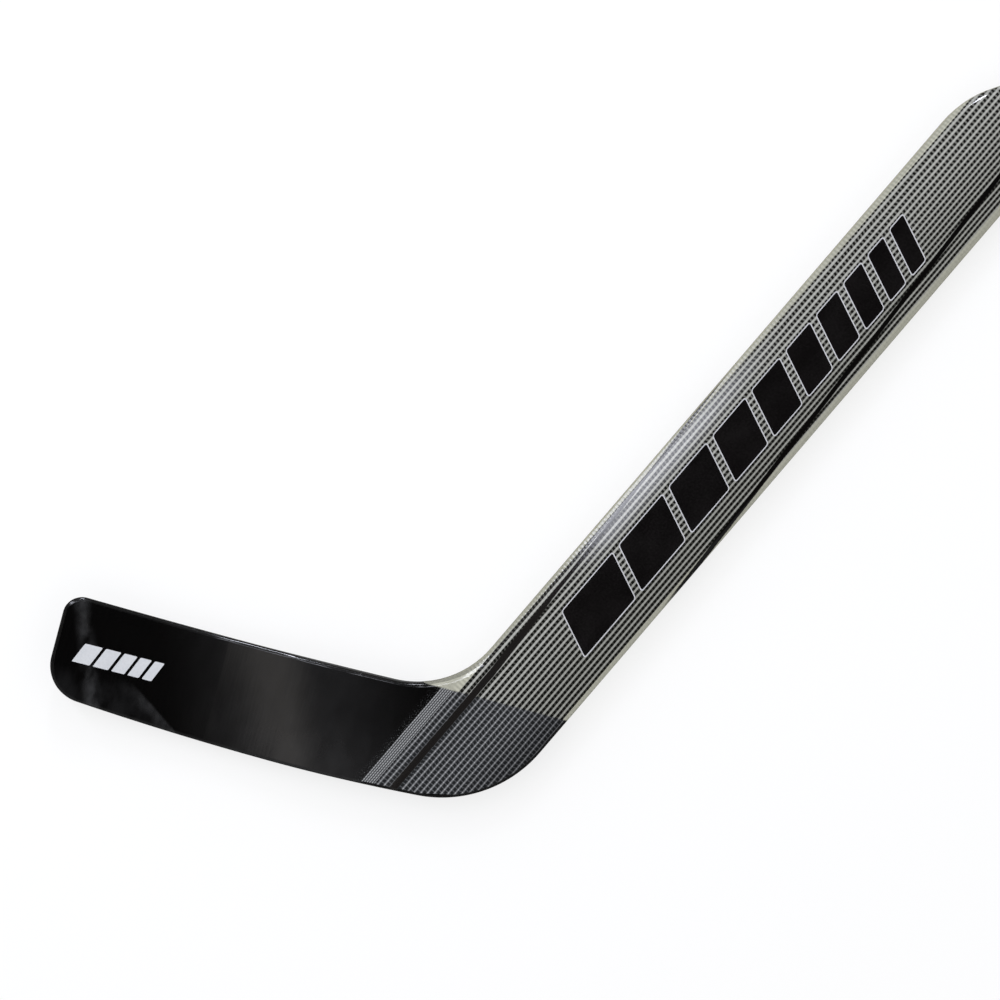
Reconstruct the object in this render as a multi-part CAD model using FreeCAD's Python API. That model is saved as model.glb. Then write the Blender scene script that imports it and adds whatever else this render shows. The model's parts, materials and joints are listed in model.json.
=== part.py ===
import FreeCAD, Part
import math
import os
from FreeCAD import Vector

# Ice hockey goalie stick, lying on its back with the front face up (millimetres).
# The origin is on the back face where the centrelines of paddle and blade cross.
# +X runs up the paddle to the butt end, +Y points to the blade side, +Z is the front.
# The blade has its own plan directions: u runs out to the toe, v to the top edge.

# Shaft and paddle
stick_thickness = 22.0
stick_length = 1500.0
paddle_length = 660.0
paddle_width = 84.6
shaft_width = 31.0
shaft_strips = 3
shoulder_length = 92.0

# Blade, measured from where the centrelines cross.
# Its height goes from the sole's low point to the ends of the top edge, which dips between them.
lie_angle = 115.8
blade_reach = 344.8
blade_height = 90.6
top_edge_dip = 3.0
blade_thickness = 12.0
toe_thickness = 8.0
toe_lift = 14.0
sole_rocker_radius = 1900.0
sole_low_point = 155.0
toe_top_radius = 15.0
toe_low_radius = 31.0
throat_radius = 79.0
heel_radius = 104.0
thinning_start = 100.0
thinning_end = 210.0

# Rounding of the outer edges, as shares of the thickness they are cut in,
# and of the butt end's plan corners as a multiple of the rounding that runs over them
stick_edge_share = 0.32
blade_edge_share = 0.35
butt_corner_factor = 1.3

# Layers and inner pieces
skin_thickness = 0.8
ply_thickness = 1.6
rail_width = 12.0
shoulder_overlap = 12.0
shoulder_housing = 2.0
shoulder_tail = 8.0
skin_lap = 55.0
selvage_offset = 10.0
joint_rise = 2.65
heel_block_reach = 45.0
stringer_height = 8.0
stringer_heel_tongue = 28.0
stringer_toe_tongue = 10.0
blade_rail_height = 5.0
sole_strip_height = 5.0
toe_block_length = 72.0

# Joint between the spine and the heel block
tenon_width = 7.0
tenon_thickness = 9.0
tenon_depth = 60.0

# Room for the glue under the skins, round the tenon and round the stringer's tongues
glue_gap = 0.15

# Reach of a cutting block beyond anything it has to cut, and of the toe's curve past the toe
far = 3000.0
curve_overrun = 1.2
# Distance under which two places count as one
same_place = 0.01
# Upward part of a direction: at most this for a wall, at least this for a front or back face
wall_tilt = 0.001
face_tilt = 0.5
# Rounds in which a corner of the outline settles
settling_rounds = 60

half_paddle = paddle_width / 2
half_shaft = shaft_width / 2
half_blade = blade_height / 2
middle_z = stick_thickness / 2
lie = math.radians(lie_angle)
toe_way = Vector(math.cos(lie), math.sin(lie), 0)
top_way = Vector(math.sin(lie), -math.cos(lie), 0)
along_x = Vector(1, 0, 0)
stick_edge_radius = stick_edge_share * stick_thickness
blade_edge_radius = blade_edge_share * toe_thickness
butt_corner_radius = butt_corner_factor * stick_edge_radius


def blade_point(u, v):
    """Plan point given in the blade's own directions."""
    return toe_way * u + top_way * v


def line(start, end):
    return Part.LineSegment(start, end).toShape()


def arc(start, middle, end):
    return Part.Arc(start, middle, end).toShape()


def ease(start, end, along, across):
    """Two equal arcs that lead from one line to a parallel one without a kink."""
    run = (end - start).dot(along)
    shift = (end - start).dot(across)
    radius = (run * run + shift * shift) / (4 * abs(shift))
    half_turn = math.asin(run / (2 * radius)) / 2
    step = along * (radius * math.sin(half_turn))
    sag = across * math.copysign(radius * (1 - math.cos(half_turn)), shift)
    middle = (start + end) / 2
    return [arc(start, start + step + sag, middle), arc(middle, end - step - sag, end)]


def sole_height(u):
    """Height of the rockered sole in the blade's v direction."""
    sideways = u - sole_low_point
    return -half_blade + sole_rocker_radius - math.sqrt(sole_rocker_radius ** 2 - sideways ** 2)


def settle(step, value):
    """Repeat a step until its value no longer changes."""
    for _ in range(settling_rounds):
        value = step(value)
    return value


# Corners of the plan outline before they are rounded
heel_u = settle(lambda u: (-half_paddle - top_way.y * sole_height(u)) / toe_way.y, 0.0)
heel_corner = blade_point(heel_u, sole_height(heel_u))
toe_low_corner = blade_point(blade_reach, sole_height(blade_reach))
toe_top_corner = blade_point(blade_reach, half_blade)
throat_u = (half_paddle - top_way.y * half_blade) / toe_way.y
throat_corner = blade_point(throat_u, half_blade)
shoulder_start = heel_corner.x + paddle_length
shoulder_end = shoulder_start + shoulder_length
butt_end = heel_corner.x + stick_length
heel_end = heel_corner.x + heel_radius / math.tan(lie / 2)

# Places where the inner pieces meet
core_depth = skin_thickness + glue_gap
top_edge_low = half_blade - top_edge_dip
joint_v = half_blade + joint_rise
foam_end = shoulder_start - shoulder_overlap
plank_end = shoulder_end + shoulder_tail
skin_end = shoulder_end + skin_lap
selvage_y = half_paddle + selvage_offset
toe_block_start = blade_reach - toe_block_length
spine_half = shaft_width / (2 * shaft_strips)


def plan_outline():
    """Outline of the whole stick seen from the front, with sharp corners."""
    sole_middle_u = (heel_u + blade_reach) / 2
    top_middle_u = (throat_u + blade_reach) / 2
    butt_front = Vector(butt_end, half_shaft, 0)
    butt_rear = Vector(butt_end, -half_shaft, 0)
    front_start = Vector(shoulder_start, half_paddle, 0)
    front_end = Vector(shoulder_end, half_shaft, 0)
    rear_start = Vector(shoulder_start, -half_paddle, 0)
    rear_end = Vector(shoulder_end, -half_shaft, 0)
    across = Vector(0, 1, 0)
    edges = [
        arc(heel_corner, blade_point(sole_middle_u, sole_height(sole_middle_u)), toe_low_corner),
        line(toe_low_corner, toe_top_corner),
        arc(toe_top_corner, blade_point(top_middle_u, top_edge_low), throat_corner),
        line(throat_corner, front_start),
        line(front_end, butt_front),
        line(butt_front, butt_rear),
        line(butt_rear, rear_end),
        line(rear_start, heel_corner),
    ]
    edges += ease(front_start, front_end, along_x, across)
    edges += ease(rear_start, rear_end, along_x, across)
    return Part.Wire(Part.__sortEdges__(edges))


def round_upright_edge(solid, corner, radius):
    """Round the upright edge that stands over one corner of the plan outline."""
    upright = [edge for edge in solid.Edges if edge.BoundBox.ZLength > stick_thickness]
    chosen = min(upright, key=lambda edge: edge.CenterOfMass.distanceToLine(corner, Vector(0, 0, 1)))
    return solid.makeFillet(radius, [chosen])


def plan_prism():
    """The outline carried straight up, with throat, heel, toe and butt corners rounded."""
    outline = plan_outline()
    outline.translate(Vector(0, 0, -far / 2))
    prism = Part.Face(outline).extrude(Vector(0, 0, far))
    corners = [
        (throat_corner, throat_radius),
        (heel_corner, heel_radius),
        (toe_low_corner, toe_low_radius),
        (toe_top_corner, toe_top_radius),
        (Vector(butt_end, half_shaft, 0), butt_corner_radius),
        (Vector(butt_end, -half_shaft, 0), butt_corner_radius),
    ]
    for corner, radius in corners:
        prism = round_upright_edge(prism, corner, radius)
    return prism


def face_line(side, inset):
    """Front (side 1) or back (side -1) face seen along the blade: flat, thinned, then curved up."""
    thick_z = middle_z + side * (stick_thickness / 2 - inset)
    thin_z = middle_z + side * (blade_thickness / 2 - inset)
    thick_end = Vector(thinning_start, 0, thick_z)
    curve_start = Vector(thinning_end, 0, thin_z)
    lift = toe_lift - side * (blade_thickness - toe_thickness) / 2
    run = blade_reach - thinning_end
    radius = (run * run + lift * lift) / (2 * lift)
    turn = curve_overrun * math.asin(run / radius)
    centre = curve_start + Vector(0, 0, radius)
    curve_middle = centre + Vector(math.sin(turn / 2), 0, -math.cos(turn / 2)) * radius
    curve_end = centre + Vector(math.sin(turn), 0, -math.cos(turn)) * radius
    edges = [line(Vector(-far, 0, thick_z), thick_end)]
    edges += ease(thick_end, curve_start, along_x, Vector(0, 0, 1))
    edges += [arc(curve_start, curve_middle, curve_end)]
    return edges, curve_end


def thickness_slab(inset):
    """Everything between the front and back faces, each moved in by the inset."""
    front_edges, front_tip = face_line(1, inset)
    back_edges, back_tip = face_line(-1, inset)
    rear_front = Vector(-far, 0, stick_thickness - inset)
    rear_back = Vector(-far, 0, inset)
    closing = [line(front_tip, back_tip), line(rear_front, rear_back)]
    profile = Part.Wire(Part.__sortEdges__(front_edges + back_edges + closing))
    profile.translate(Vector(0, -far, 0))
    slab = Part.Face(profile).extrude(Vector(0, 2 * far, 0))
    slab.rotate(Vector(0, 0, 0), Vector(0, 0, 1), lie_angle)
    return slab


def edge_radius(point):
    """Rounding at a corner of the outer edge: full on shaft and paddle, fine on the blade."""
    beside_paddle = abs(point.y) < half_paddle + same_place
    if beside_paddle and point.x > heel_end - same_place:
        return stick_edge_radius
    return blade_edge_radius


def tilt(face):
    """Upward part of the direction a face looks in: 0 for an upright wall."""
    u_low, u_high, v_low, v_high = face.ParameterRange
    return face.normalAt((u_low + u_high) / 2, (v_low + v_high) / 2).z


def is_rim(edge, solid, side):
    """True where an upright wall meets the front (side 1) or the back (side -1)."""
    low, high = sorted(side * tilt(face) for face in solid.ancestorsOfType(edge, Part.Face))
    return abs(low) < wall_tilt and high > face_tilt


def with_ends(edge):
    """An edge with its first and last point."""
    return edge, edge.valueAt(edge.FirstParameter), edge.valueAt(edge.LastParameter)


def walk_round(edges):
    """Edges in order round a loop, each with the points where the walk enters and leaves it."""
    waiting = [with_ends(edge) for edge in edges]
    steps = [waiting.pop(0)]
    while waiting:
        here = steps[-1][2]
        waiting.sort(key=lambda step: min(here.distanceToPoint(end) for end in step[1:]))
        edge, start, end = waiting.pop(0)
        if here.distanceToPoint(end) < here.distanceToPoint(start):
            start, end = end, start
        steps.append((edge, start, end))
    return steps


def round_rim(document, solid, side):
    """Round the outer edge of one face with a radius that changes along it."""
    sharp = document.addObject("Part::Feature", "sharp")
    sharp.Shape = solid
    rounded = document.addObject("Part::Fillet", "rounded")
    rounded.Base = sharp
    numbers = {edge.hashCode(): number for number, edge in enumerate(sharp.Shape.Edges, 1)}
    rim = [edge for edge in sharp.Shape.Edges if is_rim(edge, sharp.Shape, side)]
    rows = []
    for edge, start, end in walk_round(rim):
        rows.append((numbers[edge.hashCode()], edge_radius(start), edge_radius(end)))
    rounded.Edges = rows
    document.recompute()
    return rounded.Shape.Solids[0]


def rounded_body():
    """The whole stick as one shape, from which every piece is cut."""
    document = FreeCAD.newDocument("stick")
    body = plan_prism().common(thickness_slab(0.0)).Solids[0]
    body = round_rim(document, body, 1)
    return round_rim(document, body, -1)


def paddle_zone(x_low, x_high, y_low, y_high):
    """Upright block between two places along the stick and two across it."""
    corner = Vector(x_low, y_low, -far)
    return Part.makeBox(x_high - x_low, y_high - y_low, 2 * far, corner)


def blade_zone(u_low, u_high, v_low, v_high):
    """Upright block between two places along the blade and two across it."""
    corner = Vector(u_low, -v_high, -far)
    block = Part.makeBox(u_high - u_low, v_high - v_low, 2 * far, corner)
    block.rotate(Vector(0, 0, 0), Vector(0, 0, 1), lie_angle)
    return block


def side_zone(side, x_low, x_high, out_low, out_high):
    """Paddle zone given by distances out from the centreline, on the front or rear side."""
    if side > 0:
        return paddle_zone(x_low, x_high, out_low, out_high)
    return paddle_zone(x_low, x_high, -out_high, -out_low)


def wing_zone(side):
    """All that lies beside the shaft on one side, let a little way into it at the shoulder."""
    beside_paddle = side_zone(side, -far, foam_end, half_shaft, far)
    at_shoulder = side_zone(side, foam_end, plank_end, half_shaft - shoulder_housing, far)
    return beside_paddle.fuse(at_shoulder)


def front_and_back(layers):
    """The two sheets of a cut layer, front one first."""
    front, back = sorted(layers.Solids, key=lambda solid: -solid.CenterOfMass.z)[:2]
    return front, back


def tenon(gap):
    """Tenon of the spine, or its mortise when a gap is given."""
    joint_x = joint_v / top_way.x
    tip = joint_x - tenon_depth - gap
    length = tenon_depth + gap + shaft_width
    wide = tenon_width + 2 * gap
    thick = tenon_thickness + 2 * gap
    return Part.makeBox(length, wide, thick, Vector(tip, -wide / 2, middle_z - thick / 2))


def shaft_pieces(core, above_joint):
    """Core strips, plies and the spine with its tenon."""
    inner = thickness_slab(core_depth + ply_thickness)
    lane = core.common(above_joint).cut(wing_zone(1)).cut(wing_zone(-1))
    front_ply, back_ply = front_and_back(lane.cut(inner))
    strips = lane.common(inner)
    spine = strips.common(paddle_zone(-far, far, -spine_half, spine_half))
    return {
        "shaft_spine": spine.fuse(tenon(0.0)).removeSplitter(),
        "shaft_front_strip": strips.common(side_zone(1, -far, far, spine_half, far)),
        "shaft_rear_strip": strips.common(side_zone(-1, -far, far, spine_half, far)),
        "shaft_front_ply": front_ply,
        "shaft_back_ply": back_ply,
    }


def paddle_pieces(core, above_joint):
    """Side planks with their rails and shoulders, and the foam in their pockets."""
    pieces = {}
    for side, name in ((1, "front"), (-1, "rear")):
        wing = core.common(above_joint).common(wing_zone(side))
        pocket = side_zone(side, -far, foam_end, half_shaft, half_paddle - rail_width)
        pieces["paddle_" + name + "_plank"] = wing.cut(pocket)
        pieces["paddle_" + name + "_foam"] = wing.common(pocket)
    return pieces


def stringer_room(gap):
    """Room of the blade's stringer, with a glue gap where it enters the end blocks."""
    half_height = stringer_height / 2 + gap
    heel_tip = heel_block_reach - stringer_heel_tongue - gap
    toe_tip = toe_block_start + stringer_toe_tongue + gap
    return blade_zone(heel_tip, toe_tip, -half_height, half_height)


def blade_pieces(core):
    """Heel block, toe block, rails and foam of the blade."""
    below_joint = core.common(blade_zone(-far, far, -far, joint_v))
    heel = below_joint.common(blade_zone(-far, heel_block_reach, -far, far))
    plank = below_joint.common(blade_zone(heel_block_reach, far, -far, far))
    strip_centre = blade_point(sole_low_point, sole_rocker_radius - half_blade) - Vector(0, 0, far)
    above_strip = Part.makeCylinder(sole_rocker_radius - sole_strip_height, 2 * far, strip_centre)
    rail_low = top_edge_low - blade_rail_height
    half_stringer = stringer_height / 2
    middle = plank.common(above_strip).common(blade_zone(0, toe_block_start, -far, far))
    toe = plank.common(above_strip).common(blade_zone(toe_block_start, far, -far, far))
    return {
        "heel_block": heel.cut(tenon(glue_gap)).cut(stringer_room(glue_gap)),
        "blade_stringer": core.common(stringer_room(0.0)),
        "blade_upper_foam": middle.common(blade_zone(0, far, half_stringer, rail_low)),
        "blade_lower_foam": middle.common(blade_zone(0, far, -far, -half_stringer)),
        "blade_top_rail": middle.common(blade_zone(0, far, rail_low, far)),
        "blade_sole_strip": plank.cut(above_strip),
        "toe_block": toe.cut(stringer_room(glue_gap)),
    }


def skin_pieces(body):
    """Outer sheets, divided at the selvage on the blade and at the lap on the shaft."""
    pieces = {}
    on_paddle = paddle_zone(-far, skin_end, -far, selvage_y)
    on_blade = paddle_zone(-far, skin_end, selvage_y, far)
    on_shaft = paddle_zone(skin_end, far, -far, far)
    sheets = front_and_back(body.cut(thickness_slab(skin_thickness)))
    for sheet, name in zip(sheets, ("front", "back")):
        pieces["paddle_" + name + "_skin"] = sheet.common(on_paddle)
        pieces["blade_" + name + "_skin"] = sheet.common(on_blade)
        pieces["shaft_" + name + "_sheet"] = sheet.common(on_shaft)
    return pieces


def all_pieces():
    """Every piece of the stick by name, each cut from the same rounded body."""
    body = rounded_body()
    core = body.common(thickness_slab(core_depth))
    above_joint = blade_zone(-far, far, joint_v, far)
    pieces = shaft_pieces(core, above_joint)
    pieces.update(paddle_pieces(core, above_joint))
    pieces.update(blade_pieces(core))
    pieces.update(skin_pieces(body))
    return pieces


os.makedirs("parts", exist_ok=True)
for node_name, shape in all_pieces().items():
    solid = max(shape.Solids, key=lambda one: one.Volume)
    print(node_name, len(shape.Solids), solid.isValid(), round(solid.Volume))
    solid.exportStep("parts/" + node_name + ".step")
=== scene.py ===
import json
import math
import bmesh
import bpy
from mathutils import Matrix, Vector
from mathutils.bvhtree import BVHTree


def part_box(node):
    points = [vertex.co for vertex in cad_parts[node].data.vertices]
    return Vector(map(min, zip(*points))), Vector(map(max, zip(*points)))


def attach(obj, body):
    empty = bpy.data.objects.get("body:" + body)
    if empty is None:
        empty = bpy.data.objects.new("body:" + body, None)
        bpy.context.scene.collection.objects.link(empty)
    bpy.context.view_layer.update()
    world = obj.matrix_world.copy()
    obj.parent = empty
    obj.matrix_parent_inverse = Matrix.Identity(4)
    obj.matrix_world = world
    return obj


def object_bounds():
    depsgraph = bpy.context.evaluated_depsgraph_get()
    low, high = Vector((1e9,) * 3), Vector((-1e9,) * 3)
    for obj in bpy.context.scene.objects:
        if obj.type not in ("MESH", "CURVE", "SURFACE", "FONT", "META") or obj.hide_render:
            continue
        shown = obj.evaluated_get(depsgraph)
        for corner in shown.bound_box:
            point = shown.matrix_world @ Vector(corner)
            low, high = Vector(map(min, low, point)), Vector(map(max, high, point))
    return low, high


# Goalie stick lying on its back, seen straight from the front.
# +X runs up the paddle, +Y points to the blade side, +Z is the front.
# Lengths are metres, and millimetres inside the finishes.
# A zone or an edge is a pair: where a soft change starts, and where it is complete.

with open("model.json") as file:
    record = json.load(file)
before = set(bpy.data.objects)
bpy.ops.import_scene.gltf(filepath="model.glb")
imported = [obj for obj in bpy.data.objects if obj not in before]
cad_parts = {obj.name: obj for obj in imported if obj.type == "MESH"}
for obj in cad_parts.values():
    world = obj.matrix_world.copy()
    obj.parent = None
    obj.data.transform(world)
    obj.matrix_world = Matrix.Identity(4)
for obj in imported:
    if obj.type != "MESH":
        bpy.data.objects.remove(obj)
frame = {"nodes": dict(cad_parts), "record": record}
nodes = frame["nodes"]
cad_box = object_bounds()

MM = 1000.0

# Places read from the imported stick
face_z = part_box("paddle_front_skin")[1].z
half_paddle = -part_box("paddle_rear_plank")[0].y
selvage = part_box("blade_front_skin")[0].y

# Blade directions in plan, and the line across the heel where the dark base ends (millimetres)
lie = math.radians(115.8)
joint_line = 47.95
joint_edge = (-0.8, 0.8)

# Where the blade gets thinner, and how far the coat's flow lies askew to it (millimetres)
thinning_start = 100.0
thinning_half = 55.0
thinning_radius = 606.0
thinning_skew = 0.40

# Roughness of the clear coat on each kind of piece
sheet_coat = 0.06
wood_coat = 0.10
edge_coat = 0.12
blade_coat = 0.15


class Field:
    """A number that changes over a surface. Arithmetic on it adds Math nodes to the finish."""

    def __init__(self, tree, socket):
        self.tree = tree
        self.socket = socket

    def math(self, operation, *others):
        return calculate(self.tree, operation, self, *others)

    def __add__(self, other):
        return self.math("ADD", other)

    def __sub__(self, other):
        return self.math("SUBTRACT", other)

    def __mul__(self, other):
        return self.math("MULTIPLY", other)

    def __truediv__(self, other):
        return self.math("DIVIDE", other)

    def __rsub__(self, other):
        return calculate(self.tree, "SUBTRACT", other, self)

    __radd__ = __add__
    __rmul__ = __mul__

    def fraction(self):
        return self.math("FRACT")

    def whole(self):
        return self.math("FLOOR")

    def size(self):
        return self.math("ABSOLUTE")

    def at_least(self, other):
        return self.math("MAXIMUM", other)

    def at_most(self, other):
        return self.math("MINIMUM", other)

    def between(self, low, high):
        """A share that runs from 0 to 1, stretched to run from low to high."""
        return self * (high - low) + low

    def ramp(self, start, end):
        """0 at the start, 1 at the end and beyond it, with a soft course between."""
        node = self.tree.nodes.new("ShaderNodeMapRange")
        node.interpolation_type = "SMOOTHSTEP"
        for entry, value in zip(node.inputs, (self, start, end)):
            feed(self.tree, entry, value)
        return Field(self.tree, node.outputs[0])


def feed(tree, entry, value):
    """Link a field or socket to a node's input, or set a plain value there."""
    if isinstance(value, Field):
        value = value.socket
    if isinstance(value, bpy.types.NodeSocket):
        tree.links.new(value, entry)
    else:
        entry.default_value = value


def calculate(tree, operation, *values):
    node = tree.nodes.new("ShaderNodeMath")
    node.operation = operation
    for entry, value in zip(node.inputs, values):
        feed(tree, entry, value)
    return Field(tree, node.outputs[0])


class Finish:
    """A material being made, with the place on the stick in millimetres as fields."""

    def __init__(self, name, settings):
        self.material = bpy.data.materials.new(name)
        self.material.use_nodes = True
        self.tree = self.material.node_tree
        self.shader = self.tree.nodes["Principled BSDF"]
        for socket_name, value in settings.items():
            self.shader.inputs[socket_name].default_value = value
        place = self.tree.nodes.new("ShaderNodeTexCoord").outputs["Object"]
        apart = self.tree.nodes.new("ShaderNodeSeparateXYZ")
        self.tree.links.new(place, apart.inputs[0])
        self.x, self.y, self.z = (Field(self.tree, out) * MM for out in apart.outputs)
        self.u = self.x * math.cos(lie) + self.y * math.sin(lie)
        self.v = self.x * math.sin(lie) - self.y * math.cos(lie)

    def noise(self, place, detail=2.0):
        """Smooth noise from 0 to 1 at a place given by three fields or numbers."""
        spot = self.tree.nodes.new("ShaderNodeCombineXYZ")
        for entry, value in zip(spot.inputs, place):
            feed(self.tree, entry, value)
        node = self.tree.nodes.new("ShaderNodeTexNoise")
        node.inputs["Scale"].default_value = 1.0
        node.inputs["Detail"].default_value = detail
        self.tree.links.new(spot.outputs[0], node.inputs["Vector"])
        return Field(self.tree, node.outputs[0])

    def third_place(self, depth, layer):
        """Place of a noise through the thickness, or a fixed layer where its blots have no depth."""
        return self.z / depth if depth else layer

    def paddle_noise(self, length, width, depth=None, layer=0.0, detail=2.0):
        """Noise with blots of this length and width along and across the paddle."""
        return self.noise((self.x / length, self.y / width, self.third_place(depth, layer)), detail)

    def blade_noise(self, length, width, depth=None, layer=0.0, detail=2.0):
        """Noise with blots of this length and width along and across the blade."""
        return self.noise((self.u / length, self.v / width, self.third_place(depth, layer)), detail)

    def mix(self, share, first, second):
        """First colour where the share is 0, second where it is 1."""
        node = self.tree.nodes.new("ShaderNodeMix")
        node.data_type = "RGBA"
        entries = [entry for entry in node.inputs if entry.name == "Factor"][:1]
        entries += [entry for entry in node.inputs if entry.type == "RGBA"]
        for entry, value in zip(entries, (share, first, second)):
            feed(self.tree, entry, value)
        return [out for out in node.outputs if out.type == "RGBA"][0]

    def shade(self, colour, brightness):
        """A colour made brighter or darker by a field around 1."""
        node = self.tree.nodes.new("ShaderNodeVectorMath")
        node.operation = "SCALE"
        plain = isinstance(colour, tuple)
        feed(self.tree, node.inputs[0], colour[:3] if plain else colour)
        feed(self.tree, node.inputs["Scale"], brightness)
        return node.outputs[0]

    def paint(self, colour):
        feed(self.tree, self.shader.inputs["Base Color"], colour)

    def set(self, socket_name, value):
        feed(self.tree, self.shader.inputs[socket_name], value)

    def relief(self, height, *socket_names):
        """Tilt the surface, or its clear coat, by a height in millimetres."""
        node = self.tree.nodes.new("ShaderNodeBump")
        node.inputs["Distance"].default_value = 1 / MM
        feed(self.tree, node.inputs["Height"], height)
        for socket_name in socket_names:
            self.tree.links.new(node.outputs[0], self.shader.inputs[socket_name])


def rgb(red, green, blue):
    return (red, green, blue, 1.0)


def coated(coat_roughness):
    """Settings of a dull colour under clear resin."""
    return {"Roughness": 0.6, "Specular IOR Level": 0.0, "Coat Weight": 1.0,
            "Coat Roughness": coat_roughness}


def above_joint(finish):
    """1 on the light base above the joint line, 0 on the dark base below it."""
    return (finish.v - joint_line).ramp(*joint_edge)


# Woven cloth: threads along the paddle make rows, threads across it cut the rows into dashes.
# Across a row, 0 is the middle of its thread. Along it, 0 is the middle of a dash.
row_pitch = 4.49
row_phase = 0.073
row_wander = 0.4
row_opening = 1.95e-4
row_crowding = 6.4e-4
crowding_growth = 3.88e-6
crowding_end = 600.0
dash_pitch = 3.55
dash_shift = 0.35
dash_shift_length = 60.0
row_unlikeness = 7.3
fibre_brightness = (0.75, 1.25)

# Cloth over the light base: from dim threads and dark bridges at the rear to pale ones at the front
paling_zone = (-34.0, 32.0)
opening_zone = (60.0, 420.0)
opening = (0.25, 1.0)
dash_edge = (0.37, 0.23)
thread_edge = (0.27, 0.15)
thread_crest = 1.14
thread_fall = 3.4
bead_edge = (0.15, 0.45)
bead_brightness = (0.90, 1.06)
pale_thread = rgb(0.355, 0.355, 0.33)
dim_thread = rgb(0.25, 0.25, 0.226)
open_bridge = rgb(0.16, 0.16, 0.145)
dark_bridge = rgb(0.028, 0.027, 0.023)
black_thread = rgb(0.005, 0.005, 0.004)

# Cloth over the dark base of the heel
cell_end = (0.47, 0.29)
cell_side = (0.14, 0.28)
crossing_edge = (0.22, 0.48)
crossing_brightness = (0.70, 1.30)
net_edge = (0.16, 0.04)
heel_shade_zone = (-44.0, 0.0)
heel_shade = (0.5, 1.0)
heel_cell = rgb(0.0155, 0.0162, 0.0172)
heel_bridge = rgb(0.078, 0.080, 0.084)
heel_thread = rgb(0.285, 0.288, 0.293)

# Selvage of the cloth, on the blade's side of the heel
selvage_width = 9.5
selvage_start = (-0.2, 0.3)
selvage_pitch = 1.75
selvage_dash = 2.4
selvage_stagger = 0.5
selvage_thread_edge = (0.34, 0.12)
selvage_dash_edge = (0.05, 0.35)
selvage_dash_brightness = (0.4, 1.0)
selvage_gap = rgb(0.045, 0.046, 0.048)
selvage_thread = rgb(0.36, 0.365, 0.37)

# Bare margins along both edges, where the ends of the threads show. The rear margin is a darker cream, which
# is painted shade, and the beads near the front carry a painted glint.
front_margin = 40.3
front_margin_lean = 0.0034
rear_margin = -39.6
rear_margin_lean = 0.0046
margin_raggedness = 0.9
margin_softness = 0.3
# Pale beads of thread ends, with a painted glint that makes them lighter towards the front
painted_glint_start = (0.0, 30.0)
painted_glint_stop = (46.0, 43.0)
thread_end_edge = (0.1, 0.4)
bead_and_painted_glint_rise = (0.06, 0.28)
thread_end_base = 0.92
# Painted shade: the rear margin is a darker cream than the front one
cream_shade_zone = (-20.0, 20.0)
grain_brightness = (0.88, 1.12)
cream = rgb(0.40, 0.395, 0.325)
painted_shade_cream = rgb(0.37, 0.365, 0.298)

# Dark stripes: the front one runs straight over the heel and then leans out to the edge
front_stripe_place = 29.1
front_stripe_turn = 64.0
front_stripe_lean = 0.045
front_stripe_dip = 0.4
front_stripe_dip_zone = (140.0, 170.0)
front_stripe_half = 2.8
first_narrowing = 1.3
first_narrowing_zone = (100.0, 155.0)
last_narrowing = 0.55
last_narrowing_zone = (160.0, 240.0)
rear_stripe_entry = 250.0
rear_stripe_place = -39.8
rear_stripe_lean = 0.0495
rear_stripe_half = 1.8
rear_stripe_zone = (185.0, 215.0)
stripe_roughness = 0.6
stripe_softness = 0.7
stripe_brown = rgb(0.0112, 0.0098, 0.0092)
stripe_black = rgb(0.0030, 0.0026, 0.0024)

# Black lacquer, which laps over the heel's rounded rim and cuts off its lowest corner
lacquer = rgb(0.0010, 0.0009, 0.0009)
lap_start = 0.01
lap_end = 0.15
low_cut_x = -0.788
low_cut_y = -0.616
low_cut_edge = (31.45, 31.85)

# Resin on the sheet: level in the middle of the paddle, falling off towards both edges
crown_start = 14.0
crown_end = 44.0
crown_fall = 0.003
resin_ripple = 0.02
thread_dent = 0.02
fibre_height = 0.01


def off_middle(count):
    """Distance from the middle of a repeat that is counted by a field: 0.5 at its ends."""
    return (count.fraction() - 0.5).size()


def front_stripe_y(finish):
    """Line of the dark stripe near the front edge."""
    leaning = (finish.x - front_stripe_turn).at_least(0.0) * front_stripe_lean
    dip = finish.x.ramp(*front_stripe_dip_zone) * front_stripe_dip
    return front_stripe_place + leaning - dip


def front_stripe_width(finish):
    """Half width of the front stripe, which narrows as it nears the edge."""
    first = finish.x.ramp(*first_narrowing_zone) * first_narrowing
    last = finish.x.ramp(*last_narrowing_zone) * last_narrowing
    return front_stripe_half - first - last


def rear_stripe_y(finish):
    """Line of the dark stripe that comes in over the rear edge."""
    return rear_stripe_place + (finish.x - rear_stripe_entry) * rear_stripe_lean


def dark_stripe(finish, centre, half_width):
    """1 inside a stripe whose centre is a field across the paddle."""
    rough_edge = finish.paddle_noise(length=3.0, width=3.0, layer=4.0) * stripe_roughness
    return ((finish.y - centre).size() + rough_edge).ramp(half_width + stripe_softness, half_width)


def with_stripes(finish, colour, fibre):
    """Lay both dark stripes over a colour."""
    rear = dark_stripe(finish, rear_stripe_y(finish), rear_stripe_half)
    rear = rear * finish.x.ramp(*rear_stripe_zone)
    front = dark_stripe(finish, front_stripe_y(finish), front_stripe_width(finish))
    colour = finish.mix(rear, colour, stripe_black)
    return finish.mix(front, colour, finish.shade(stripe_brown, fibre))


def thread_rows(finish):
    """Place across the cloth counted in rows from the front edge. They crowd towards the rear edge."""
    wander = (finish.paddle_noise(length=70.0, width=50.0) - 0.5) * row_wander
    up_paddle = finish.x.at_least(0.0).at_most(crowding_end)
    inward = half_paddle * MM - finish.y
    opened = inward * (1.0 - up_paddle * row_opening)
    crowded = inward * inward * (row_crowding + up_paddle * crowding_growth)
    return (opened + crowded + wander) / row_pitch + row_phase


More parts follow.
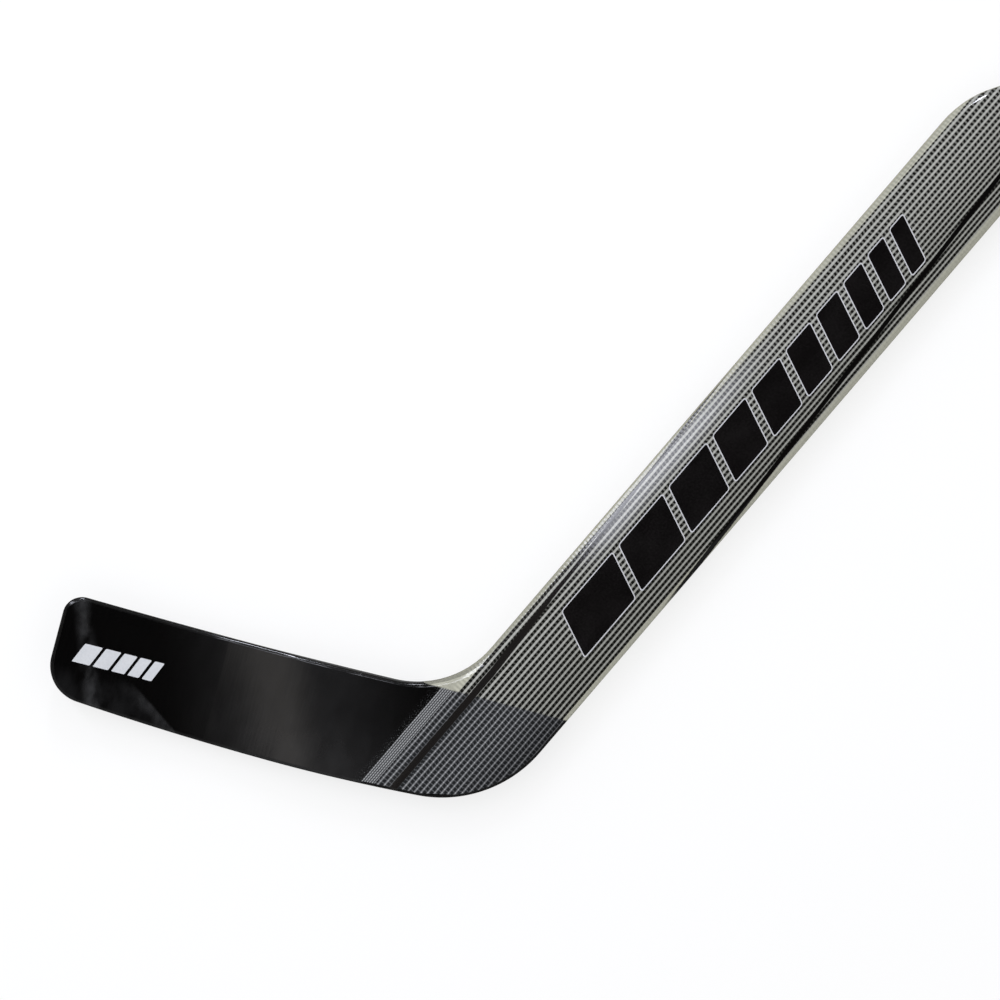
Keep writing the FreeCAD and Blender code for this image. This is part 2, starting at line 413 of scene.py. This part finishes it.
def fibre_streaks(finish):
    """Brightness of the fine fibres along the threads, around 1."""
    return finish.paddle_noise(length=6.0, width=0.35, layer=2.0).between(*fibre_brightness)


def thread_place(finish):
    """Place in the weave: off the row's middle, off the dash's middle, and fibre brightness."""
    rows = thread_rows(finish)
    shift_place = (rows.whole() * row_unlikeness, finish.x / dash_shift_length, 0.0)
    row_shift = finish.noise(shift_place, detail=0.0) * dash_shift
    fibre = fibre_streaks(finish)
    return off_middle(rows), off_middle(finish.x / dash_pitch + row_shift), fibre


def cloth_over_cream(finish, beside, along, fibre):
    """Pale threads and black dashes of the cloth where the base under it is light."""
    towards_front = finish.y.ramp(*paling_zone)
    openness = towards_front * finish.x.ramp(*opening_zone).between(*opening)
    bridge = finish.mix(openness, dark_bridge, open_bridge)
    groove = finish.mix(along.ramp(*dash_edge), bridge, black_thread)
    roundness = thread_crest - beside * beside * thread_fall
    bead = along.ramp(*bead_edge).between(*bead_brightness)
    pale = finish.shade(finish.mix(towards_front, dim_thread, pale_thread), roundness * bead * fibre)
    return finish.mix(beside.ramp(*thread_edge), groove, pale)


def cloth_over_dark(finish, beside, along, fibre):
    """The same cloth where the base is dark: a net of fine light threads round dark cells."""
    cell = along.ramp(*cell_end) * beside.ramp(*cell_side)
    crossing = along.ramp(*crossing_edge).between(*crossing_brightness)
    ground = finish.mix(cell, finish.shade(heel_bridge, fibre), heel_cell)
    net = finish.mix(beside.ramp(*net_edge), ground, finish.shade(heel_thread, crossing * fibre))
    return finish.shade(net, finish.y.ramp(*heel_shade_zone).between(*heel_shade))


def cloth_selvage(finish, fibre):
    """Tight woven edge of the cloth, where it ends on the blade."""
    count = finish.y / selvage_pitch
    beside = off_middle(count)
    along = off_middle(finish.x / selvage_dash + count.whole() * selvage_stagger)
    dash = along.ramp(*selvage_dash_edge).between(*selvage_dash_brightness)
    thread = beside.ramp(*selvage_thread_edge) * dash
    return finish.mix(thread, selvage_gap, finish.shade(selvage_thread, fibre))


def wood_grain(finish):
    """Fine lines of the wood under the clear coat, around 1."""
    lines = finish.paddle_noise(length=30.0, width=0.8, depth=3.0, detail=4.0)
    return lines.between(*grain_brightness)


def inside_cloth(finish):
    """1 on the upper cloth, 0 on the margins that it leaves bare along both edges."""
    ragged = finish.paddle_noise(length=2.2, width=9.0, layer=7.0) * margin_raggedness
    past_front = finish.y - (front_margin - finish.x * front_margin_lean - ragged)
    past_rear = finish.y - (rear_margin + finish.x * rear_margin_lean + ragged)
    inside_front = past_front.ramp(margin_softness, -margin_softness)
    return inside_front * past_rear.ramp(-margin_softness, margin_softness)


def cloth_and_margins(finish, beside, along, fibre):
    """The upper cloth and its cream margins, where the ends of its threads show as pale beads. A painted
    glint lightens the beads towards the front, and painted shade darkens the rear margin.
    """
    in_cloth = inside_cloth(finish)
    # The beads are real; towards the front a painted glint is added to them
    painted_glint_share = finish.y.ramp(*painted_glint_start) * finish.y.ramp(*painted_glint_stop)
    thread_ends = along.ramp(*thread_end_edge) * painted_glint_share.between(*bead_and_painted_glint_rise) + thread_end_base
    # Painted shade: darker cream on the rear margin
    bare = finish.mix(finish.y.ramp(*cream_shade_zone), painted_shade_cream, cream)
    margin = finish.shade(bare, wood_grain(finish) * thread_ends)
    return finish.mix(in_cloth, margin, cloth_over_cream(finish, beside, along, fibre))


def lacquered_heel_rim(finish):
    """1 where the black lacquer covers the rim of the heel's sheet."""
    half_thickness = face_z * MM / 2
    from_middle = (finish.z - half_thickness).size()
    lap = from_middle.ramp(half_thickness - lap_start, half_thickness - lap_end)
    low_corner = (finish.x * low_cut_x + finish.y * low_cut_y).ramp(*low_cut_edge)
    return lap.at_least(low_corner)


def resin_ripples(finish):
    """Uneven flow of the resin on a woven sheet."""
    return finish.paddle_noise(length=14.0, width=5.0, layer=1.0) * resin_ripple


def woven_skin():
    """Woven sheet of the paddle under clear resin, with its bare margins and dark stripes."""
    finish = Finish("woven_skin", coated(sheet_coat))
    beside, along, fibre = thread_place(finish)
    in_selvage = (finish.y - (selvage * MM - selvage_width)).ramp(*selvage_start)
    over_dark = cloth_over_dark(finish, beside, along, fibre)
    over_dark = finish.mix(in_selvage, over_dark, cloth_selvage(finish, fibre))
    over_dark = finish.mix(lacquered_heel_rim(finish), over_dark, lacquer)
    over_cream = cloth_and_margins(finish, beside, along, fibre)
    colour = finish.mix(above_joint(finish), over_dark, over_cream)
    finish.paint(with_stripes(finish, colour, fibre))

    crown = (finish.y.size().at_most(crown_end) - crown_start).at_least(0.0)
    threads = beside * along * -thread_dent + fibre * fibre_height
    finish.relief(resin_ripples(finish) + threads - crown * crown * crown_fall, "Coat Normal")
    return finish.material


def shaft_sheet():
    """Sheet of the shaft: pale threads with black dashes on the light wood."""
    finish = Finish("shaft_sheet", coated(sheet_coat))
    beside = off_middle(thread_rows(finish))
    along = off_middle(finish.x / dash_pitch)
    finish.paint(cloth_over_cream(finish, beside, along, fibre_streaks(finish)))
    finish.relief(resin_ripples(finish), "Coat Normal")
    return finish.material


# Blade lacquer: brushing and frayed thread ends, with painted reflections: grey streaks at the toe and a
# grey band in the middle
brush_edge = (0.3, 0.75)
brush_black = rgb(0.0018, 0.0016, 0.0015)
patch_edge = (0.25, 0.75)
# Painted reflections at the toe: a streak across the blade and a fan above the sole
toe_streak_place = 316.5
toe_streak_lean = 0.37
toe_streak_edge = (10.0, 0.5)
low_streak_place = 295.5
low_streak_lean = 1.44
low_streak_edge = (-3.0, 1.5)
low_streak_fade = (22.0, 0.0)
low_streak_strength = (0.2, 0.7)
low_streak_zone = (-10.0, -26.0)
toe_reflection_grey = rgb(0.034, 0.034, 0.035)
# Painted reflection: a grey band in the middle of the blade, lighter towards the sole
painted_reflection_start = (20.0, 120.0)
painted_reflection_end = (260.0, 155.0)
painted_reflection_patchiness = (0.7, 1.0)
painted_reflection_low_zone = (10.0, -40.0)
painted_reflection_low_brightness = (1.0, 1.6)
painted_reflection_grey = rgb(0.0120, 0.0117, 0.0118)
fray_edge = (0.56, 0.68)
fray_reach = (8.0, 0.0)
fray_grey = rgb(0.075, 0.076, 0.078)
cloth_print = 0.010
lacquer_waves = 0.05
brush_depth = 0.02


def thinning(u):
    """Fall of the blade's front where it gets thinner, as two arcs, at a place along the blade."""
    fall = (u - thinning_start).at_least(0.0).at_most(thinning_half)
    rise = (thinning_start + 2 * thinning_half - u).at_least(0.0).at_most(thinning_half)
    return (rise * rise - fall * fall) * (0.5 / thinning_radius)


def wiped_streaks(finish, patchy):
    """Painted reflections at the toe, as grey streaks: one across the blade, one fan above the sole."""
    off_toe_line = finish.u - finish.v * toe_streak_lean - toe_streak_place
    toe_streak = off_toe_line.size().ramp(*toe_streak_edge)
    past_line = finish.u - finish.v * low_streak_lean - low_streak_place
    low_streak = past_line.ramp(*low_streak_edge)
    low_streak = low_streak * past_line.ramp(*low_streak_fade).between(*low_streak_strength)
    return patchy * (toe_streak + low_streak * finish.v.ramp(*low_streak_zone))


def hazed(finish, black, askew, patchy):
    """Lay a painted reflection, a grey band across the middle of the blade, over the lacquer. It is brighter
    towards the sole.
    """
    painted_reflection_share = askew.ramp(*painted_reflection_start) * askew.ramp(*painted_reflection_end) * patchy.between(*painted_reflection_patchiness)
    low_brightness = finish.v.ramp(*painted_reflection_low_zone).between(*painted_reflection_low_brightness)
    return finish.mix(painted_reflection_share, black, finish.shade(painted_reflection_grey, low_brightness))


def frayed_ends(finish):
    """Specks of thread beyond the selvage, thinning out along the blade."""
    specks = finish.paddle_noise(length=1.3, width=0.8, layer=3.0).ramp(*fray_edge)
    return specks * (finish.y - selvage * MM).ramp(*fray_reach)


def black_skin():
    """Black lacquer on the blade's sheet, with fine brushing, the frayed end of the cloth and painted
    reflections.
    """
    finish = Finish("black_skin", coated(blade_coat))
    askew = finish.u - finish.v * thinning_skew
    brushed = finish.blade_noise(length=1.0, width=28.0, detail=3.0).ramp(*brush_edge)
    black = finish.mix(brushed, lacquer, brush_black)
    patchy = finish.blade_noise(length=12.0, width=22.0, layer=5.0, detail=3.0).ramp(*patch_edge)
    # Painted reflections: grey streaks at the toe
    black = finish.mix(wiped_streaks(finish, patchy), black, toe_reflection_grey)
    # Painted reflection: a grey band in the middle of the blade
    black = hazed(finish, black, askew, patchy)
    black = finish.mix(frayed_ends(finish), black, fray_grey)
    light_base = finish.shade(cream, wood_grain(finish))
    finish.paint(finish.mix(above_joint(finish), black, light_base))

    cloth = finish.paddle_noise(length=9.0, width=1.6) * cloth_print
    waves = finish.blade_noise(length=35.0, width=25.0, detail=1.0) * lacquer_waves
    brush_lines = finish.blade_noise(length=1.6, width=45.0, layer=9.0) * brush_depth
    twist = thinning(askew) - thinning(finish.u)
    finish.relief(cloth + waves + brush_lines + twist, "Coat Normal")
    return finish.material


# Straight-grained wood: yearly rings round an axis beside the stick, and long pores
ring_across = 0.62
ring_through = 0.78
ring_wander = 5.0
late_wood_start = (0.55, 0.95)
late_wood_end = (1.0, 0.95)
late_wood_share = 0.7
pore_edge = (0.52, 0.75)
pore_share = 0.35
pore_depth = 0.02

pale_light = rgb(0.34, 0.33, 0.245)
pale_dark = rgb(0.25, 0.235, 0.165)
pale_rings = 3.4
core_light = rgb(0.52, 0.40, 0.24)
core_dark = rgb(0.36, 0.25, 0.13)
core_rings = 2.6
core_roughness = 0.7
ply_light = rgb(0.42, 0.36, 0.24)
ply_dark = rgb(0.31, 0.25, 0.16)
ply_rings = 1.9
ply_roughness = 0.65

# Rounding of the pale edges, where cloth and resin lap over the wood. Its colour holds painted shade at the
# front, darkest on the front rim, and painted light at the rear.
rounding_edge = (5.5, 8.0)
rounding_painted_light_zone = (20.0, -20.0)
rounding_painted_light = (0.77, 1.05)
front_rim_painted_shade_zone = (40.0, 42.0)
front_rim_painted_shade = 0.2
rim_thread_edge = (0.12, 0.42)
rim_thread_zone = (6.5, 8.0)
rim_thread_height = 0.03
pool_start = 38.5
pool_zone = (120.0, 180.0)
pool_rise = 0.10


def grained(finish, light, dark, ring_pitch):
    """Colour of straight-grained wood."""
    wander = finish.paddle_noise(length=120.0, width=18.0, depth=18.0) * ring_wander
    rings = ((finish.y * ring_across + finish.z * ring_through + wander) / ring_pitch).fraction()
    late = rings.ramp(*late_wood_start) * rings.ramp(*late_wood_end)
    pores = finish.paddle_noise(length=9.0, width=0.35, depth=0.35, detail=3.0).ramp(*pore_edge)
    finish.relief(pores * -pore_depth, "Normal")
    return finish.mix((late * late_wood_share + pores * pore_share).at_most(1.0), light, dark)


def pale_wood():
    """Pale wood of the edges under clear gloss. The cloth and its stripes lap over the rounding, whose
    colour holds painted shade at the front and painted light at the rear.
    """
    finish = Finish("pale_wood", coated(wood_coat))
    from_middle = (finish.z - face_z * MM / 2).size()
    wall = grained(finish, pale_light, pale_dark, pale_rings)
    beside, along, fibre = thread_place(finish)
    rounding = cloth_and_margins(finish, beside, along, fibre)
    # Painted light and shade on the rounding: darker at the front, darkest on the front rim, lighter at the
    # rear
    painted_light_and_shade = finish.y.ramp(*rounding_painted_light_zone).between(*rounding_painted_light)
    painted_light_and_shade = painted_light_and_shade - finish.y.ramp(*front_rim_painted_shade_zone) * front_rim_painted_shade
    rounding = with_stripes(finish, finish.shade(rounding, painted_light_and_shade), fibre)
    finish.paint(finish.mix(from_middle.ramp(*rounding_edge), wall, rounding))

    thread_ends = along.ramp(*rim_thread_edge) * from_middle.ramp(*rim_thread_zone)
    pooled = (finish.y - pool_start).at_least(0.0) * finish.x.ramp(*pool_zone)
    threads = thread_ends * rim_thread_height + fibre * fibre_height
    finish.relief(threads + pooled * pooled * pool_rise, "Coat Normal")
    return finish.material


def core_wood():
    """Bare wood of the shaft's spine and the blade's stringer."""
    finish = Finish("core_wood", {"Roughness": core_roughness})
    finish.paint(grained(finish, core_light, core_dark, core_rings))
    return finish.material


def ply_wood():
    """Bare wood of the thin plies."""
    finish = Finish("ply_wood", {"Roughness": ply_roughness})
    finish.paint(grained(finish, ply_light, ply_dark, ply_rings))
    return finish.material


# Black edges of the blade, and the foam inside
edge_grain_black = rgb(0.011, 0.010, 0.009)
edge_grain_height = 0.03
rubbed_edge = (0.62, 0.78)
rubbed_share = 0.5
rubbed_black = rgb(0.035, 0.032, 0.029)
sole_gloss = 0.4
sole_roughness = (0.22, 0.57)
sole_black = rgb(0.005, 0.005, 0.005)
scuffed_black = rgb(0.030, 0.029, 0.028)
scuff_edge = (0.5, 0.8)
scuff_height = 0.04
foam_roughness = 0.9
foam_cells_per_metre = 900.0
foam_hollow = rgb(0.66, 0.60, 0.42)
foam_wall = rgb(0.80, 0.76, 0.60)
foam_height = 0.3


def dark_edge():
    """Black lacquer over wood on heel, top rail and toe, with grain and rubbed spots under the gloss."""
    finish = Finish("dark_edge", coated(edge_coat))
    grain = finish.blade_noise(length=40.0, width=1.2, depth=0.8, detail=4.0)
    rubbed = finish.paddle_noise(length=6.0, width=6.0, depth=6.0, detail=5.0).ramp(*rubbed_edge)
    black = finish.mix(grain, lacquer, edge_grain_black)
    finish.paint(finish.mix(rubbed * rubbed_share, black, rubbed_black))
    finish.relief(grain * edge_grain_height, "Normal", "Coat Normal")
    return finish.material


def sole_plastic():
    """Black wear strip of the sole, scuffed along its length."""
    finish = Finish("sole_plastic", {"Specular IOR Level": sole_gloss})
    scuff = finish.blade_noise(length=18.0, width=0.7, depth=0.7, detail=5.0)
    finish.paint(finish.mix(scuff.ramp(*scuff_edge), sole_black, scuffed_black))
    finish.set("Roughness", scuff.between(*sole_roughness))
    finish.relief(scuff * scuff_height, "Normal")
    return finish.material


def foam():
    """Closed-cell filler foam."""
    finish = Finish("foam", {"Roughness": foam_roughness})
    cell = finish.tree.nodes.new("ShaderNodeTexVoronoi")
    cell.inputs["Scale"].default_value = foam_cells_per_metre
    place = finish.tree.nodes.new("ShaderNodeTexCoord").outputs["Object"]
    finish.tree.links.new(place, cell.inputs["Vector"])
    bubble = Field(finish.tree, cell.outputs["Distance"])
    finish.paint(finish.mix(bubble, foam_hollow, foam_wall))
    finish.relief(bubble * foam_height, "Normal")
    return finish.material


for make in (woven_skin, black_skin, shaft_sheet, pale_wood, core_wood, ply_wood, dark_edge,
             sole_plastic, foam):
    made = make()
    for row in frame["record"]["subparts"]:
        if row["material_slot"] == make.__name__:
            nodes[row["node"]].material_slots[0].material = made


# Printed bars: a plain graphic whose bars get shorter, large on the paddle and small at the toe
bar_slant = math.tan(math.radians(22.9))
bar_shrink = 0.86
corner_segments = 4
outline_width = 0.0009
film = 0.00006

paddle_bars_x = 0.130
paddle_bars_y = -0.0005
paddle_bar_count = 10
paddle_bar_length = 0.062
paddle_bar_gap = 0.0085
paddle_bar_half_height = 0.0188
paddle_bar_corner = 0.0018

toe_bars_u = 0.3245
toe_bars_v = 0.0008
toe_bar_count = 5
toe_bar_length = 0.0145
toe_bar_gap = 0.0026
toe_bar_half_height = 0.0082
toe_bar_corner = 0.0008

ink_edge = (0.35, 0.75)
ink_height = 0.006


def front_height(node_name):
    """A function that gives the height of a node's front face over a point in plan."""
    mesh = nodes[node_name].data
    corners = [vertex.co for vertex in mesh.vertices]
    tree = BVHTree.FromPolygons(corners, [face.vertices[:] for face in mesh.polygons])
    high_above = cad_box[1].z + 1.0
    return lambda x, y: tree.ray_cast(Vector((x, y, high_above)), Vector((0, 0, -1)))[0].z


blade_height_at = front_height("blade_front_skin")


def on_paddle(point):
    """Bars on the paddle read from the heel up."""
    return Vector((paddle_bars_x + point.x, paddle_bars_y + point.y, face_z + point.z))


def on_blade(point):
    """Bars at the toe read from the toe end, upright along the blade's own directions."""
    u = toe_bars_u - point.x
    v = toe_bars_v + point.y
    x = u * math.cos(lie) + v * math.sin(lie)
    y = u * math.sin(lie) - v * math.cos(lie)
    return Vector((x, y, blade_height_at(x, y) + point.z))


def slanted_bar(mesh, start, length, half_height, corner_radius):
    """One slanted bar with rounded corners, lying on the plane z = 0."""
    lean = bar_slant * half_height
    end = start + length
    plan = [(start - lean, -half_height), (end - lean, -half_height),
            (end + lean, half_height), (start + lean, half_height)]
    corners = [mesh.verts.new((x, y, 0.0)) for x, y in plan]
    mesh.faces.new(corners)
    bmesh.ops.bevel(mesh, geom=corners, offset=corner_radius, segments=corner_segments, profile=0.5,
                    affect="VERTICES", material=-1)


def bar_row(count, length, gap, half_height, corner_radius, grow):
    """A row of bars, each shorter than the one before, each grown on all sides."""
    mesh = bmesh.new()
    start = 0.0
    side = grow * math.hypot(1.0, bar_slant)
    for _ in range(count):
        slanted_bar(mesh, start - side, length + 2 * side, half_height + grow, corner_radius + grow)
        start += length + gap
        length *= bar_shrink
    return mesh


def print_film(name, material, mesh, thickness, place):
    """Give flat shapes the thickness of a print and lay them on the stick."""
    lifted = bmesh.ops.extrude_face_region(mesh, geom=mesh.faces[:])["geom"]
    upper = [part for part in lifted if isinstance(part, bmesh.types.BMVert)]
    bmesh.ops.translate(mesh, verts=upper, vec=(0, 0, thickness))
    for vertex in mesh.verts:
        vertex.co = place(vertex.co)
    bmesh.ops.recalc_face_normals(mesh, faces=mesh.faces[:])
    data = bpy.data.meshes.new(name)
    mesh.to_mesh(data)
    mesh.free()
    data.materials.append(material)
    piece = bpy.data.objects.new(name, data)
    bpy.context.scene.collection.objects.link(piece)
    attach(piece, "root")


def ink(name, colour, speck):
    """Printed ink under the clear coat, with the fine unevenness of a screen print."""
    finish = Finish(name, coated(sheet_coat))
    uneven = finish.paddle_noise(length=1.6, width=1.6, depth=1.0, detail=4.0)
    cloud = finish.paddle_noise(length=40.0, width=25.0)
    finish.paint(finish.mix(((uneven + cloud) / 2).ramp(*ink_edge), colour, speck))
    finish.relief(uneven * ink_height, "Coat Normal")
    return finish.material


def paddle_bars(grow):
    return bar_row(paddle_bar_count, paddle_bar_length, paddle_bar_gap, paddle_bar_half_height,
                   paddle_bar_corner, grow)


ink_black = ink("ink_black", rgb(0.0035, 0.003, 0.003), rgb(0.009, 0.008, 0.008))
ink_outline = ink("ink_outline", rgb(0.50, 0.50, 0.52), rgb(0.60, 0.60, 0.62))
ink_white = ink("ink_white", rgb(0.56, 0.57, 0.59), rgb(0.64, 0.65, 0.67))
toe_bars = bar_row(toe_bar_count, toe_bar_length, toe_bar_gap, toe_bar_half_height, toe_bar_corner, 0.0)

print_film("paddle_bar_outlines", ink_outline, paddle_bars(outline_width), film, on_paddle)
print_film("paddle_bars", ink_black, paddle_bars(0.0), 2 * film, on_paddle)
print_film("toe_bars", ink_white, toe_bars, film, on_blade)


# Camera: straight above the front face, turned so that the paddle runs to the upper right
view_width = 0.806
view_centre = Vector((0.1734, 0.1149))
view_turn = math.radians(-49.37)
lens = 100.0
sensor = 36.0


def add_camera():
    data = bpy.data.cameras.new("camera")
    data.lens = lens
    data.sensor_width = sensor
    camera = bpy.data.objects.new("camera", data)
    distance = view_width * lens / sensor
    camera.location = (view_centre.x, view_centre.y, face_z + distance)
    camera.rotation_euler = (0, 0, view_turn)
    bpy.context.scene.collection.objects.link(camera)
    bpy.context.scene.camera = camera


# Studio: a white floor, a dome that is dark overhead and bright round the sides, and four soft lamps
floor_size = 60.0
floor_glow = 0.75
floor_in_gloss = 0.12
floor_white = rgb(0.9, 0.9, 0.9)
floor_roughness = 0.9
dome_white = rgb(0.98, 0.99, 1.0)
dome_top = 0.02
dome_side = 1.08
dome_zone = (0.96, 0.76)
dome_in_gloss = 0.2
lamp_height = 3.0
cool = (0.88, 0.90, 1.0)
warm = (1.0, 0.94, 0.88)
no_fade = (-1.0, 0.0)


def add_floor():
    """White floor: it keeps the soft shadow, and is dark only in the gloss of the stick."""
    mesh = bmesh.new()
    bmesh.ops.create_grid(mesh, x_segments=1, y_segments=1, size=floor_size / 2)
    data = bpy.data.meshes.new("floor")
    mesh.to_mesh(data)
    mesh.free()
    floor = bpy.data.objects.new("floor", data)
    floor.location = (view_centre.x, view_centre.y, cad_box[0].z)
    bpy.context.scene.collection.objects.link(floor)
    material = bpy.data.materials.new("floor")
    material.use_nodes = True
    tree = material.node_tree
    shader = tree.nodes["Principled BSDF"]
    shader.inputs["Base Color"].default_value = floor_white
    shader.inputs["Roughness"].default_value = floor_roughness
    shader.inputs["Specular IOR Level"].default_value = 0.0
    path = tree.nodes.new("ShaderNodeLightPath")
    in_view = Field(tree, path.outputs["Is Camera Ray"])
    in_gloss = Field(tree, path.outputs["Is Glossy Ray"])
    glow = tree.nodes.new("ShaderNodeEmission")
    feed(tree, glow.inputs["Strength"], in_view + in_gloss * floor_in_gloss)
    blend = tree.nodes.new("ShaderNodeMixShader")
    feed(tree, blend.inputs[0], in_view * floor_glow + in_gloss)
    tree.links.new(shader.outputs[0], blend.inputs[1])
    tree.links.new(glow.outputs[0], blend.inputs[2])
    tree.links.new(blend.outputs[0], tree.nodes["Material Output"].inputs["Surface"])
    data.materials.append(material)


def add_dome():
    """World light that is dark overhead and dim in the gloss, so that gloss black stays black."""
    world = bpy.data.worlds.new("dome")
    world.use_nodes = True
    bpy.context.scene.world = world
    tree = world.node_tree
    direction = tree.nodes.new("ShaderNodeTexCoord").outputs["Generated"]
    apart = tree.nodes.new("ShaderNodeSeparateXYZ")
    tree.links.new(direction, apart.inputs[0])
    level = Field(tree, apart.outputs["Z"]).ramp(*dome_zone).between(dome_top, dome_side)
    in_gloss = Field(tree, tree.nodes.new("ShaderNodeLightPath").outputs["Is Glossy Ray"])
    dimmed = level * in_gloss.between(1.0, dome_in_gloss)
    feed(tree, tree.nodes["Background"].inputs["Strength"], dimmed)
    tree.nodes["Background"].inputs["Color"].default_value = dome_white


def add_lamp(name, place, angles, size, colour, power):
    """Soft lamp that shines straight down before it is turned by the angles."""
    data = bpy.data.lights.new(name, "AREA")
    data.shape = "RECTANGLE"
    data.size, data.size_y = size
    data.color = colour
    data.energy = power
    lamp = bpy.data.objects.new(name, data)
    lamp.location = place
    lamp.rotation_euler = angles
    bpy.context.scene.collection.objects.link(lamp)
    return data


def fade_lamp(lamp, across_fade, along_fade):
    """Let a lamp fade. Each pair is where it is dark and where it is full, as shares of its side."""
    lamp.use_nodes = True
    tree = lamp.node_tree
    place = tree.nodes.new("ShaderNodeNewGeometry").outputs["Parametric"]
    apart = tree.nodes.new("ShaderNodeSeparateXYZ")
    tree.links.new(place, apart.inputs[0])
    across, along = (Field(tree, out) for out in apart.outputs[:2])
    strength = along.ramp(*along_fade) * across.ramp(*across_fade)
    feed(tree, tree.nodes["Emission"].inputs["Strength"], strength)


def add_lamps():
    """One lamp for each long highlight: the front half of the paddle, its edge, the blade's rim and band."""
    front_lamp = add_lamp("front_lamp", place=(0.48, 0.55, lamp_height), angles=(0, 0, 0),
                          size=(0.52, 0.8), colour=cool, power=8.7)
    fade_lamp(front_lamp, across_fade=(1.05, 0.50), along_fade=(-0.06, 0.59))
    edge_lamp = add_lamp("edge_lamp", place=(0.42, 2.02, 1.72), angles=(math.radians(-55), 0, 0),
                         size=(0.42, 3.4), colour=cool, power=43.0)
    fade_lamp(edge_lamp, across_fade=(1.25, 0.25), along_fade=(-0.90, 0.40))
    add_lamp("rim_lamp", place=(1.50, 1.37, 1.12), angles=(math.radians(-60), 0, lie - math.pi),
             size=(0.20, 0.5), colour=cool, power=11.0)
    blade_lamp = add_lamp("blade_lamp", place=(-0.751, 0.520, lamp_height), angles=(0, 0, lie),
                          size=(0.49, 0.75), colour=warm, power=0.92)
    fade_lamp(blade_lamp, across_fade=(0.0, 0.55), along_fade=no_fade)


add_camera()
add_floor()
add_dome()
add_lamps()

bpy.context.scene.view_settings.view_transform = "Standard"
